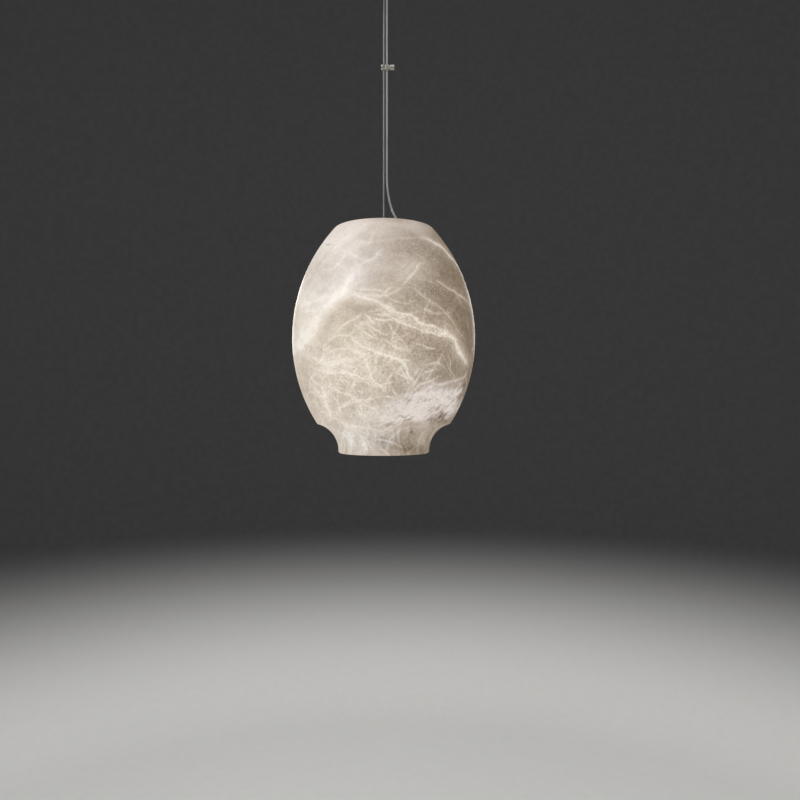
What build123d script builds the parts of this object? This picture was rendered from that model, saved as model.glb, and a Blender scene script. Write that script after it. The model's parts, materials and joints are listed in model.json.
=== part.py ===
from build123d import *
import math
import os

# Pendant light with a turned stone shade. Millimetres, +Z up.
# The origin is on the ceiling, at the middle of the bracket.

# Stone shade, heights measured down from its flat top
shade_drop = 320.3
shade_height = 245.6
shade_radius = 100.0
shade_top_radius = 53.8
widest_drop = 120.8
shoulder_radius = 72.9
shoulder_drop = 213.8
mouth_radius = 49.9
mouth_lip = 2.4
neck_bore_length = 22.0
shade_wall = 10.0
shade_top_thickness = 16.0
cavity_corner = 6.0
top_edge_round = 1.2
mouth_edge_round = 2.0
shoulder_edge_round = 0.5

# Cable, cord and clip
cable_diameter = 2.0
cord_diameter = 2.2
cord_spacing = 3.3
cord_hole_x = 16.0
cord_bend_share = 0.45
clip_height = 179.3
clip_radius = 3.0
clip_left_wall = 1.9
clip_right_wall = 0.9
clip_bridge = 1.2
clip_head_gap = 1.1
clip_head_length = 5.0
clip_head_radius = 2.9
clip_screw_diameter = 2.5
knurl_count = 18
knurl_radius = 0.3

# Ceiling bracket
bracket_thickness = 2.0
bracket_edge_gap = 4.5
slot_spacing = 70.0
slot_width = 5.0
slot_length = 12.0
wire_hole_radius = 6.0
wire_hole_y = -34.0
earth_screw_diameter = 4.0
earth_washer_radius = 4.4
earth_washer_thickness = 1.2
earth_gap = 8.0
ear_width = 14.0
ear_height = 15.0
ear_screw_drop = 9.0
ear_screw_diameter = 4.0

# Canopy cover
canopy_diameter = 110.0
canopy_height = 31.5
canopy_wall = 1.5
canopy_round = 4.0
canopy_top_gap = 0.5
canopy_hole_gap = 1.5

# Swivel
swivel_drop = 24.0
ball_radius = 12.0
ball_flat = 8.0
liner_thickness = 1.3
liner_low = 9.0
liner_high = 1.0
cup_wall = 4.4
cup_seat_depth = 10.0
cup_flange_width = 5.5
cup_flange_thickness = 2.5
post_count = 3
post_radius = 2.5
post_spigot_radius = 1.75
cup_screw_diameter = 3.0
cup_screw_reach = 4.0
post_hole_depth = 6.0
plug_wall = 0.55
plug_flange_width = 2.05
plug_flange_thickness = 4.0
grip_screw_diameter = 2.5
top_stop_length = 6.0
top_stop_gap = 0.2
cable_end = 1.0

# LED driver
driver_length = 44.0
driver_height = 16.0
driver_wall = 1.5
driver_cover_gap = 3.0
driver_cup_gap = 1.0
board_thickness = 1.2
terminal_length = 8.0
terminal_depth = 9.0
terminal_height = 10.0
terminal_screw_diameter = 2.5
transformer_width = 12.0
transformer_margin = 2.0
capacitor_radius = 2.6
capacitor_x = -11.0
choke_width = 7.0
choke_x = 11.0
component_margin = 1.5

# Clamp on the stone and the cable's lower end
stem_diameter = 10.0
stem_hole_gap = 0.5
pad_thickness = 1.0
top_washer_radius = 10.5
top_washer_thickness = 2.0
top_nut_radius = 8.0
top_nut_height = 6.0
inner_pad_radius = 28.0
carrier_radius = 32.0
carrier_thickness = 2.5
lock_nut_sides = 6
lock_nut_width = 15.0
lock_nut_height = 5.0
stem_below_nut = 3.0
stop_washer_radius = 4.5
stop_washer_thickness = 1.5
bottom_stop_radius = 2.5
bottom_stop_length = 8.0
grommet_wall = 1.8
grommet_flange = 1.6
grommet_flange_height = 1.2
grommet_length = 8.0

# Lamp post, LEDs and diffuser
post_flange_radius = 23.5
post_flange_thickness = 6.0
post_sides = 6
post_width = 26.0
post_length = 100.0
post_bore_radius = 10.0
post_bore_depth = 24.0
post_screw_count = 3
post_screw_circle = 19.0
post_screw_diameter = 3.0
led_board_width = 12.0
led_board_margin = 4.0
led_rows = 6
led_size = 3.0
led_height = 0.7
end_board_radius = 11.0
end_led_count = 4
end_led_circle = 7.0
connector_length = 9.0
connector_depth = 5.0
connector_width = 7.0
connector_gap = 0.6
o_ring_radius = 1.0
glass_wall = 2.0
glass_length = 106.0
glass_flange_gap = 0.9
collar_thickness = 1.4
collar_height = 10.0

# Clearances
fit_gap = 0.05
slide_gap = 0.1
ball_gap = 0.15
glass_top_gap = 0.5
loose_gap = 0.3
screw_head_ratio = 0.9
screw_head_height = 2.0
screw_slot_ratio = 0.25

# Derived places
cable_radius = cable_diameter / 2
cord_radius = cord_diameter / 2
shade_top = -shade_drop
shade_bottom = shade_top - shade_height
ceiling_under = -bracket_thickness
canopy_radius = canopy_diameter / 2
canopy_inner = canopy_radius - canopy_wall
bracket_radius = canopy_inner - bracket_edge_gap
swivel_z = -swivel_drop
seat_radius = ball_radius + liner_thickness + 2 * ball_gap
cup_radius = seat_radius + cup_wall
cup_top = swivel_z + ball_flat
cup_bottom = swivel_z - cup_seat_depth
cup_flange_radius = cup_radius + cup_flange_width
post_circle = cup_flange_radius - post_radius - loose_gap
plug_radius = cord_spacing + cord_radius + plug_wall
plug_flange_low = swivel_z + ball_flat + fit_gap
plug_flange_top = plug_flange_low + plug_flange_thickness
grip_z = plug_flange_low + plug_flange_thickness / 2
ball_bore_radius = plug_radius + fit_gap
top_stop_radius = cord_spacing - cord_radius - top_stop_gap
top_stop_top = plug_flange_top + top_stop_length
cord_top = plug_flange_top + cable_end
driver_near = cup_flange_radius + driver_cup_gap
driver_far = math.sqrt((canopy_inner - driver_cover_gap) ** 2 - (driver_length / 2) ** 2)
driver_low = ceiling_under - driver_height
stem_radius = stem_diameter / 2
stem_bore = cable_radius + 2 * slide_gap
top_washer_low = shade_top + pad_thickness
top_nut_low = top_washer_low + top_washer_thickness
stem_top = top_nut_low + top_nut_height
stone_under = shade_top - shade_top_thickness
carrier_top = stone_under - pad_thickness
carrier_low = carrier_top - carrier_thickness
lock_nut_low = carrier_low - lock_nut_height
stem_low = lock_nut_low - stem_below_nut
stop_top = stem_low - stop_washer_thickness
stop_low = stop_top - bottom_stop_length
grommet_radius = cord_radius + slide_gap + grommet_wall
flange_low = carrier_low - post_flange_thickness
post_low = flange_low - post_length
board_face = post_width / 2 + board_thickness
board_top = flange_low - led_board_margin
board_low = post_low + led_board_margin
connector_top = flange_low - connector_gap
glass_inner = post_flange_radius + glass_flange_gap
glass_outer = glass_inner + glass_wall
glass_top = carrier_low - glass_top_gap
clip_z = shade_top + clip_height
clip_left = -cable_radius - slide_gap - clip_left_wall
clip_right = cord_spacing + cord_radius + slide_gap + clip_right_wall


def disc(radius, low, high, x=0.0, y=0.0):
    """Upright cylinder between two heights."""
    return Pos(x, y, (low + high) / 2) * Cylinder(radius, high - low)


def ring(outer, inner, low, high, x=0.0, y=0.0):
    """Upright tube between two heights."""
    return disc(outer, low, high, x, y) - disc(inner, low, high, x, y)


def block(x_span, y_span, z_span):
    """Box from three (low, high) spans."""
    spans = (x_span, y_span, z_span)
    centre = [(low + high) / 2 for low, high in spans]
    sides = [high - low for low, high in spans]
    return Pos(*centre) * Box(*sides)


def rod_x(radius, start, end, z, y=0.0):
    """Cylinder along X."""
    return Pos((start + end) / 2, y, z) * Rot(0, 90, 0) * Cylinder(radius, end - start)


def around(count, radius, first_angle):
    """Places evenly spaced on a circle, as (x, y)."""
    turns = [math.radians(first_angle + 360 * i / count) for i in range(count)]
    return [(radius * math.cos(turn), radius * math.sin(turn)) for turn in turns]


def group(solids):
    """Separate solids that share one node."""
    return Compound(children=solids) if len(solids) > 1 else solids[0]


def screw_up(diameter, tip, head_top, x, y):
    """Slotted screw driven upwards: shank from head_top to tip, head below head_top."""
    head_radius = diameter * screw_head_ratio
    head_low = head_top - screw_head_height
    shank = disc(diameter / 2, head_top, tip, x, y)
    head = disc(head_radius, head_low, head_top, x, y)
    slot_span = (head_low, head_low + screw_head_height / 2)
    slot_half = diameter * screw_slot_ratio / 2
    slot = block((x - head_radius, x + head_radius), (y - slot_half, y + slot_half), slot_span)
    return shank + head - slot


def cord_tube(points, radius, name):
    """Round tube along straight runs joined by the largest tangent arcs that the runs allow."""
    spots = [Vector(*point) for point in points]
    runs = [after - before for before, after in zip(spots, spots[1:])]
    radii = []
    for before, after in zip(runs, runs[1:]):
        half_turn = math.radians(before.get_angle(after)) / 2
        radii.append(cord_bend_share * min(before.length, after.length) / math.tan(half_turn))
    path = FilletPolyline(*spots, radius=radii) if radii else Line(*spots)
    tube = sweep(Plane(path @ 0, z_dir=path % 0) * Circle(radius), path=path)
    expected = math.pi * radius**2 * path.length
    bends = ", ".join(f"{bend:.1f}" for bend in radii)
    print(f"{name}: length {path.length:.1f}, bend radii {bends or 'none'}")
    print(f"{name}: volume {tube.volume:.2f}, section times length {expected:.2f}")
    return tube


def corner(face, x, z):
    """The vertex of an XZ profile nearest to a point."""
    return face.vertices().sort_by_distance(Vector(x, 0, z))[0]


def ceiling_bracket():
    plate = disc(bracket_radius, ceiling_under, 0)
    ear_inner = bracket_radius - bracket_thickness
    for side in (-1, 1):
        x_span = sorted((side * ear_inner, side * bracket_radius))
        plate += block(x_span, (-ear_width / 2, ear_width / 2), (-ear_height, 0))
    for side in (-1, 1):
        x_span = sorted((side * (ear_inner - slide_gap), side * (bracket_radius + slide_gap)))
        plate -= rod_x(ear_screw_diameter / 2, *x_span, -ear_screw_drop)
        slot = extrude(SlotOverall(slot_length, slot_width), -bracket_thickness)
        plate -= Pos(side * slot_spacing / 2, 0, 0) * slot
    plate -= disc(wire_hole_radius, ceiling_under, 0, 0, wire_hole_y)
    for x, y in around(post_count, post_circle, 90):
        plate -= disc(post_spigot_radius, ceiling_under, 0, x, y)
    for x, y in driver_screw_places():
        plate -= disc(terminal_screw_diameter / 2, ceiling_under, 0, x, y)
    return plate - disc(earth_screw_diameter / 2, ceiling_under, 0, *earth_place())


def cup_posts():
    posts = []
    for x, y in around(post_count, post_circle, 90):
        post = disc(post_radius, cup_top, ceiling_under, x, y)
        post += disc(post_spigot_radius, ceiling_under, 0, x, y)
        posts.append(post - disc(cup_screw_diameter / 2, cup_top, cup_top + post_hole_depth, x, y))
    return group(posts)


def swivel_cup():
    cup = disc(cup_radius, cup_bottom, cup_top)
    cup += disc(cup_flange_radius, cup_top - cup_flange_thickness, cup_top)
    cup -= disc(seat_radius, swivel_z, cup_top)
    cup -= Pos(0, 0, swivel_z) * Sphere(seat_radius)
    for x, y in around(post_count, post_circle, 90):
        cup -= disc(cup_screw_diameter / 2 + slide_gap, cup_top - cup_flange_thickness, cup_top, x, y)
    return cup


def cup_screws():
    head_top = cup_top - cup_flange_thickness
    tip = cup_top + cup_screw_reach
    places = around(post_count, post_circle, 90)
    return group([screw_up(cup_screw_diameter, tip, head_top, x, y) for x, y in places])


def ball_liner():
    inner = ball_radius + ball_gap
    shell = Sphere(inner + liner_thickness) - Sphere(inner)
    return Pos(0, 0, swivel_z) * (shell & disc(seat_radius, -liner_low, -liner_high))


def swivel_ball():
    ball = Sphere(ball_radius) & disc(ball_radius, -ball_radius, ball_flat)
    return Pos(0, 0, swivel_z) * (ball - disc(ball_bore_radius, -ball_radius, ball_flat))


def cable_plug():
    plug_low = swivel_z - math.sqrt(ball_radius**2 - ball_bore_radius**2)
    flange_radius = plug_radius + plug_flange_width
    plug = disc(plug_radius, plug_low, plug_flange_low)
    plug += disc(flange_radius, plug_flange_low, plug_flange_top)
    plug -= disc(cable_radius + fit_gap, plug_low, plug_flange_top)
    plug -= disc(cord_radius + fit_gap, plug_low, plug_flange_top, cord_spacing)
    return plug - rod_x(grip_screw_diameter / 2, cord_spacing, flange_radius, grip_z)


def cord_grip_screw():
    start = cord_spacing + cord_radius + fit_gap
    end = plug_radius + plug_flange_width
    screw = rod_x(grip_screw_diameter / 2, start, end, grip_z)
    slot_half = grip_screw_diameter * screw_slot_ratio / 2
    slot_z = (grip_z - grip_screw_diameter, grip_z + grip_screw_diameter)
    return screw - block((end - 2 * slot_half, end), (-slot_half, slot_half), slot_z)


def cable_top_stop():
    return ring(top_stop_radius, cable_radius + fit_gap, plug_flange_top, top_stop_top)


def suspension_cable():
    points = [(0, 0, top_stop_top + cable_end), (0, 0, stop_low - cable_end)]
    return cord_tube(points, cable_radius, "suspension_cable")


def power_cord():
    points = [
        (cord_spacing, 0, cord_top),
        (cord_spacing, 0, shade_top + 46.3),
        (8.0, 0, shade_top + 22.3),
        (cord_hole_x, 0, shade_top + 8.8),
        (cord_hole_x, 0, connector_top),
    ]
    return cord_tube(points, cord_radius, "power_cord")


def canopy_lead():
    end_x = driver_length / 2 + terminal_length / 2
    end_z = ceiling_under - terminal_height / 2
    points = [
        (cord_spacing, 0, cord_top),
        (cord_spacing, 0, cord_top + 2.6),
        (6.0, 2.0, cord_top + 5.6),
        (11.0, 6.0, cord_top + 6.4),
        (17.5, 11.5, cord_top + 6.0),
        (23.0, 16.0, cord_top + 5.0),
        (end_x, 19.5, end_z),
        (end_x, driver_near, end_z),
    ]
    return cord_tube(points, cord_radius, "canopy_lead")


def supply_grommet():
    lip = bracket_thickness / 2
    bore = wire_hole_radius - lip
    bush = ring(wire_hole_radius, bore, ceiling_under, 0, 0, wire_hole_y)
    return bush + ring(wire_hole_radius + lip, bore, ceiling_under - lip, ceiling_under, 0, wire_hole_y)


def earth_place():
    return -wire_hole_radius - earth_washer_radius - earth_gap, wire_hole_y


def earth_washer():
    low = ceiling_under - earth_washer_thickness
    return ring(earth_washer_radius, earth_screw_diameter / 2 + slide_gap, low, ceiling_under, *earth_place())


def earth_screw():
    return screw_up(earth_screw_diameter, 0, ceiling_under - earth_washer_thickness, *earth_place())


def driver_screw_places():
    y = (driver_near + driver_far) / 2
    x = driver_length / 2 - 2 * terminal_screw_diameter
    return [(-x, y), (x, y)]


def driver_case():
    half = driver_length / 2
    case = block((-half, half), (driver_near, driver_far), (driver_low, ceiling_under))
    inner = half - driver_wall
    y_span = (driver_near + driver_wall, driver_far - driver_wall)
    case -= block((-inner, inner), y_span, (driver_low, ceiling_under - driver_wall))
    hole_radius = terminal_screw_diameter / 2 + slide_gap
    for x, y in driver_screw_places():
        case -= disc(hole_radius, ceiling_under - driver_wall, ceiling_under, x, y)
    return case


def driver_lid():
    half = driver_length / 2
    lid = block((-half, half), (driver_near, driver_far), (driver_low - driver_wall, driver_low))
    rim = half - driver_wall - slide_gap
    y_span = (driver_near + driver_wall + slide_gap, driver_far - driver_wall - slide_gap)
    rim_block = block((-rim, rim), y_span, (driver_low, driver_low + driver_wall))
    inner = rim - driver_wall
    y_inner = (y_span[0] + driver_wall, y_span[1] - driver_wall)
    return lid + rim_block - block((-inner, inner), y_inner, (driver_low, driver_low + driver_wall))


def driver_board():
    half = driver_length / 2 - driver_wall - slide_gap
    y_span = (driver_near + driver_wall + slide_gap, driver_far - driver_wall - slide_gap)
    low = driver_low + driver_wall
    return block((-half, half), y_span, (low, low + board_thickness))


def driver_components():
    low = driver_low + driver_wall + board_thickness
    high = ceiling_under - driver_wall - screw_head_height - component_margin
    middle = (driver_near + driver_far) / 2
    y_low = driver_near + 2 * driver_wall + component_margin
    y_high = driver_far - 2 * driver_wall - component_margin
    half = transformer_width / 2
    transformer = block((-half, half), (y_low, y_high), (low, high - transformer_margin))
    capacitors = []
    for y in (y_low + capacitor_radius, y_high - capacitor_radius):
        capacitors.append(disc(capacitor_radius, low, high, capacitor_x, y))
    x_span = (choke_x - choke_width / 2, choke_x + choke_width / 2)
    choke = block(x_span, (y_low, middle), (low, high - 2 * transformer_margin))
    return group([transformer, choke] + capacitors)


def terminal(side):
    start = driver_length / 2
    low = ceiling_under - terminal_height
    x_span = sorted((side * start, side * (start + terminal_length)))
    body = block(x_span, (driver_near, driver_near + terminal_depth), (low, ceiling_under))
    for x in terminal_screw_x(side):
        body -= disc(terminal_screw_diameter / 2, low, low + terminal_height / 2, x, terminal_y())
    return body


def terminal_y():
    return driver_near + terminal_depth / 2


def terminal_screw_x(side):
    centre = side * (driver_length / 2 + terminal_length / 2)
    return centre - terminal_length / 4, centre + terminal_length / 4


def input_terminal():
    return terminal(-1)


def output_terminal():
    return terminal(1)


def terminal_screws():
    screws = []
    low = ceiling_under - terminal_height
    radius = terminal_screw_diameter / 2
    for side in (-1, 1):
        for x in terminal_screw_x(side):
            screw = disc(radius, low + screw_head_height / 2, low + terminal_height / 2, x, terminal_y())
            slot_half = radius * screw_slot_ratio
            slot_y = (terminal_y() - slot_half, terminal_y() + slot_half)
            screws.append(screw - block((x - radius, x + radius), slot_y, (low, low + screw_head_height)))
    return group(screws)


def driver_screws():
    head_top = ceiling_under - driver_wall
    return group([screw_up(terminal_screw_diameter, 0, head_top, x, y) for x, y in driver_screw_places()])


def cover_screws():
    screws = []
    head_radius = ear_screw_diameter * screw_head_ratio
    for side in (-1, 1):
        inner = side * (bracket_radius - bracket_thickness)
        seat = side * (canopy_radius + slide_gap)
        outer = seat + side * screw_head_height
        shank = rod_x(ear_screw_diameter / 2, *sorted((inner, seat)), -ear_screw_drop)
        head = rod_x(head_radius, *sorted((seat, outer)), -ear_screw_drop)
        slot_x = sorted((outer, outer - side * screw_head_height / 2))
        slot_z = (-ear_screw_drop - head_radius, -ear_screw_drop + head_radius)
        slot_half = ear_screw_diameter * screw_slot_ratio / 2
        screws.append(shank + head - block(slot_x, (-slot_half, slot_half), slot_z))
    return group(screws)


def canopy_cover():
    top = -canopy_top_gap
    low = top - canopy_height
    cover = disc(canopy_radius, low, top)
    cover = fillet(cover.edges().group_by(Axis.Z)[0], canopy_round)
    room = disc(canopy_inner, low + canopy_wall, top)
    room = fillet(room.edges().group_by(Axis.Z)[0], canopy_round - canopy_wall)
    cover -= room
    cover -= disc(cup_radius + canopy_hole_gap, low, low + canopy_wall)
    notch_half = ear_screw_diameter / 2 + slide_gap
    for side in (-1, 1):
        x_span = sorted((side * (canopy_inner - canopy_wall), side * (canopy_radius + canopy_wall)))
        cover -= block(x_span, (-notch_half, notch_half), (-ear_screw_drop, top))
        cover -= rod_x(notch_half, *x_span, -ear_screw_drop)
    return cover


def top_pad():
    return ring(top_washer_radius, stem_radius + fit_gap, shade_top, top_washer_low)


def top_washer():
    return ring(top_washer_radius, stem_radius + fit_gap, top_washer_low, top_nut_low)


def stem_top_nut():
    nut = disc(top_nut_radius, top_nut_low, stem_top)
    nut = chamfer(nut.edges().group_by(Axis.Z)[-1], top_nut_height / 4)
    return nut - disc(stem_radius + fit_gap, top_nut_low, stem_top)


def stem():
    return ring(stem_radius, stem_bore, stem_low, stem_top)


def cord_grommet():
    bore = cord_radius + slide_gap
    sleeve = ring(grommet_radius, bore, shade_top - grommet_length, shade_top, cord_hole_x)
    flange_top = shade_top + grommet_flange_height
    flange = ring(grommet_radius + grommet_flange, bore, shade_top, flange_top, cord_hole_x)
    return sleeve + flange


def shade_profile():
    """Half section of the stone in the XZ plane."""
    widest_z = shade_top - widest_drop
    rim = (shade_top_radius, 0, shade_top)
    widest = (shade_radius, 0, widest_z)
    shoulder = (shoulder_radius, 0, shade_top - shoulder_drop)
    lip_top = (mouth_radius, 0, shade_bottom + mouth_lip)
    lip_low = (mouth_radius, 0, shade_bottom)
    bore_radius = mouth_radius - shade_wall
    bore_low = (bore_radius, 0, shade_bottom)
    bore_top = (bore_radius, 0, shade_bottom + neck_bore_length)
    room_widest = (shade_radius - shade_wall, 0, widest_z)
    rise = widest_drop
    inset = shade_radius - shade_top_radius
    arc_radius = (rise**2 + inset**2) / (2 * inset)
    room_rise = widest_drop - shade_top_thickness
    room_arc = arc_radius - shade_wall
    room_top_radius = shade_radius - arc_radius + math.sqrt(room_arc**2 - room_rise**2)
    room_rim = (room_top_radius, 0, stone_under)
    up = (0, 0, 1)
    down = (0, 0, -1)
    outline = [
        Line((0, 0, shade_top), rim),
        TangentArc(widest, rim, tangent=up),
        TangentArc(widest, shoulder, tangent=down),
        TangentArc(lip_top, shoulder, tangent=up),
        Line(lip_top, lip_low),
        Line(lip_low, bore_low),
        Line(bore_low, bore_top),
        TangentArc(room_widest, bore_top, tangent=down),
        TangentArc(room_widest, room_rim, tangent=up),
        Line(room_rim, (0, 0, stone_under)),
        Line((0, 0, stone_under), (0, 0, shade_top)),
    ]
    face = make_face(outline)
    rounds = (
        (rim, top_edge_round),
        (shoulder, shoulder_edge_round),
        (lip_low, mouth_edge_round),
        (bore_low, mouth_edge_round),
        (room_rim, cavity_corner),
    )
    for (x, _, z), radius in rounds:
        face = fillet(corner(face, x, z), radius)
    return face


def alabaster_shade():
    stone = revolve(shade_profile(), axis=Axis.Z)
    stone -= disc(stem_radius + stem_hole_gap, stone_under, shade_top)
    return stone - disc(grommet_radius + slide_gap, stone_under, shade_top, cord_hole_x)


def inner_pad():
    pad = ring(inner_pad_radius, stem_radius + fit_gap, carrier_top, stone_under)
    return pad - disc(grommet_radius, carrier_top, stone_under, cord_hole_x)


def carrier_plate():
    plate = ring(carrier_radius, stem_radius + fit_gap, carrier_low, carrier_top)
    plate -= disc(cord_radius + loose_gap, carrier_low, carrier_top, cord_hole_x)
    for x, y in around(post_screw_count, post_screw_circle, 60):
        plate -= disc(post_screw_diameter / 2, carrier_low, carrier_top, x, y)
    return plate


def stem_lock_nut():
    hexagon = RegularPolygon(lock_nut_width / 2, lock_nut_sides, major_radius=False)
    nut = Pos(0, 0, lock_nut_low) * extrude(hexagon, lock_nut_height)
    return nut - disc(stem_radius + fit_gap, lock_nut_low, carrier_low)


def stop_washer():
    return ring(stop_washer_radius, cable_radius + slide_gap, stop_top, stem_low)


def cable_bottom_stop():
    return ring(bottom_stop_radius, cable_radius + fit_gap, stop_low, stop_top)


def lamp_post():
    hexagon = Rot(0, 0, 180 / post_sides) * RegularPolygon(post_width / 2, post_sides, major_radius=False)
    post = Pos(0, 0, post_low) * extrude(hexagon, post_length)
    post += disc(post_flange_radius, flange_low, carrier_low)
    post -= disc(post_bore_radius, carrier_low - post_bore_depth, carrier_low)
    groove_z = (flange_low + carrier_low) / 2
    groove_floor = glass_inner - fit_gap - 2 * o_ring_radius - fit_gap
    groove_half = o_ring_radius + fit_gap
    post -= ring(post_flange_radius, groove_floor, groove_z - groove_half, groove_z + groove_half)
    post -= disc(cord_radius + loose_gap, flange_low, carrier_low, cord_hole_x)
    for x, y in around(post_screw_count, post_screw_circle, 60):
        post -= disc(post_screw_diameter / 2 + slide_gap, flange_low, carrier_low, x, y)
    return post


def post_screws():
    places = around(post_screw_count, post_screw_circle, 60)
    return group([screw_up(post_screw_diameter, carrier_top, flange_low, x, y) for x, y in places])


def post_o_ring():
    groove_z = (flange_low + carrier_low) / 2
    return Pos(0, 0, groove_z) * Torus(glass_inner - fit_gap - o_ring_radius, o_ring_radius)


def led_boards():
    half = led_board_width / 2
    boards = []
    for i in range(post_sides):
        board = block((post_width / 2, board_face), (-half, half), (board_low, board_top))
        boards.append(Rot(0, 0, 360 * i / post_sides) * board)
    return group(boards)


def led_chips():
    first = board_low + led_board_margin
    last = connector_top - connector_length - led_board_margin
    half = led_size / 2
    chips = []
    for i in range(post_sides):
        for row in range(led_rows):
            z = first + (last - first) * row / (led_rows - 1)
            chip = block((board_face, board_face + led_height), (-half, half), (z - half, z + half))
            chips.append(Rot(0, 0, 360 * i / post_sides) * chip)
    return group(chips)


def end_board():
    return disc(end_board_radius, post_low - board_thickness, post_low)


def end_chips():
    half = led_size / 2
    top = post_low - board_thickness
    chips = []
    for x, y in around(end_led_count, end_led_circle, 45):
        chips.append(block((x - half, x + half), (y - half, y + half), (top - led_height, top)))
    return group(chips)


def led_connector():
    half = connector_width / 2
    x_span = (board_face, board_face + connector_depth)
    return block(x_span, (-half, half), (connector_top - connector_length, connector_top))


def diffuser_glass():
    tube_low = glass_top - glass_length
    outside = disc(glass_outer, tube_low, glass_top) + Pos(0, 0, tube_low) * Sphere(glass_outer)
    inside = disc(glass_inner, tube_low, glass_top) + Pos(0, 0, tube_low) * Sphere(glass_inner)
    return outside - inside


def diffuser_collar():
    low = glass_top - collar_height
    return ring(glass_outer + collar_thickness, glass_outer + fit_gap, low, glass_top)


def clip_body():
    barrel = rod_x(clip_radius, clip_left, clip_right, clip_z)
    low = clip_z - clip_radius
    high = clip_z + clip_radius
    barrel -= disc(cable_radius + slide_gap, low, high)
    barrel -= disc(cord_radius + slide_gap, low, high, cord_spacing)
    window_x = (-cable_radius - slide_gap, cord_spacing + cord_radius + slide_gap)
    barrel -= block(window_x, (-clip_radius, 0), (low + clip_bridge, high))
    return barrel - rod_x(clip_screw_diameter / 2 + fit_gap, cord_spacing, clip_right, clip_z)


def clip_screw():
    tip = cord_spacing + cord_radius + slide_gap
    head_start = clip_right + clip_head_gap
    head_end = head_start + clip_head_length
    head = rod_x(clip_head_radius, head_start, head_end, clip_z)
    for y, z in around(knurl_count, clip_head_radius, 0):
        head -= rod_x(knurl_radius, head_start, head_end, clip_z + z, y)
    return head + rod_x(clip_screw_diameter / 2, tip, head_start, clip_z)


def main():
    makers = (
        ceiling_bracket, cup_posts, swivel_cup, cup_screws, supply_grommet, earth_washer, earth_screw,
        driver_case, driver_lid, driver_board, driver_components, input_terminal, output_terminal,
        terminal_screws, driver_screws, cover_screws, canopy_lead, canopy_cover, ball_liner, swivel_ball,
        cable_plug, cord_grip_screw, cable_top_stop, suspension_cable, power_cord, top_pad, top_washer,
        stem_top_nut, cord_grommet, stem, alabaster_shade, inner_pad, carrier_plate, stem_lock_nut,
        stop_washer, cable_bottom_stop, lamp_post, post_screws, post_o_ring, led_boards, led_chips,
        end_board, end_chips, led_connector, diffuser_glass, diffuser_collar, clip_body, clip_screw,
    )
    os.makedirs("parts", exist_ok=True)
    for maker in makers:
        export_step(maker(), f"parts/{maker.__name__}.step")


main()
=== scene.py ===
"""Looks of a pendant light with a turned stone shade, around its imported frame. Metres, +Z up."""

import json
import math
from typing import NamedTuple

import bpy
import numpy as np
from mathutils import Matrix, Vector


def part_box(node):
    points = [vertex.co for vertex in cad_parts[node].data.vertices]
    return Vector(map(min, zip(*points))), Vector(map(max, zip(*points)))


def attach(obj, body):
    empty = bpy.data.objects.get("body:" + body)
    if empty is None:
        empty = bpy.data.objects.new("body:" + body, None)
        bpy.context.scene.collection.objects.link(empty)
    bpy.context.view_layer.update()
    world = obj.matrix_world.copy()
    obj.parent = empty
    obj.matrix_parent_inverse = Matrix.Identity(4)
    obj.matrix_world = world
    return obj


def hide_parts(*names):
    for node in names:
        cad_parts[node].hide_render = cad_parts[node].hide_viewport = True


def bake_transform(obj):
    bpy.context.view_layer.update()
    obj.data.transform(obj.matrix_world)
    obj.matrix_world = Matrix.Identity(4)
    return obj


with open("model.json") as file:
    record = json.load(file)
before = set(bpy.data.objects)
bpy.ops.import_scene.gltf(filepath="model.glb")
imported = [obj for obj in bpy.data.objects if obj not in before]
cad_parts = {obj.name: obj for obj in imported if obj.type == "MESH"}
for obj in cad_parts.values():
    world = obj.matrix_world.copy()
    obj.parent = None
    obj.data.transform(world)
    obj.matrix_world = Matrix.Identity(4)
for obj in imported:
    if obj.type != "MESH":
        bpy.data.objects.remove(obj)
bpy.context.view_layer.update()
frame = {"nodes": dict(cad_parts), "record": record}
scene = bpy.context.scene
dice = np.random.default_rng(seed=20)
tiny = 1e-12


def tint(red, green, blue):
    """A colour given as it looks on screen, 0 to 255, in the linear values that shaders take."""
    shares = [value / 255 for value in (red, green, blue)]
    return (*[s / 12.92 if s <= 0.04045 else ((s + 0.055) / 1.055) ** 2.4 for s in shares], 1.0)


class Vein(NamedTuple):
    """Soft half width and stray of its strands in metres, strength, number of strands, and points."""

    width: float
    stray: float
    strength: float
    strands: int
    points: tuple


# Picture and camera, with the focal length in picture pixels
picture_side = 800
focal_length = 725.0
sensor_width = 36.0
camera_place = (0.0178, -0.8, -0.508)

# Studio
floor_height = -1.45
floor_radius = 1.3
floor_hole = 0.001
backdrop_curve = 0.5
backdrop_top = 1.2
stage_columns = 96
stage_step = 0.1
curve_step = 0.04
paper_glow = 0.3
paper_grain = 0.02
paper_speckle = 0.03
floor_colour = tint(216, 215, 212)
wall_colour = tint(58, 58, 59)
speckle_colour = tint(120, 120, 120)
air_colour = (0.55, 0.55, 0.56, 1.0)
air_strength = 0.9

# Square area lamps: place, side, power in watts and spread in degrees
lamps = {
    "key_lamp": ((-1.0, -1.1, 0.55), 1.8, 22.0, 130),
    "fill_lamp": ((1.25, -0.85, 0.25), 1.6, 10.0, 130),
    "left_rim_lamp": ((-0.5, 1.4, -0.2), 0.4, 0.3, 50),
    "right_rim_lamp": ((0.5, 1.4, -0.2), 0.4, 0.2, 50),
}

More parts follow.
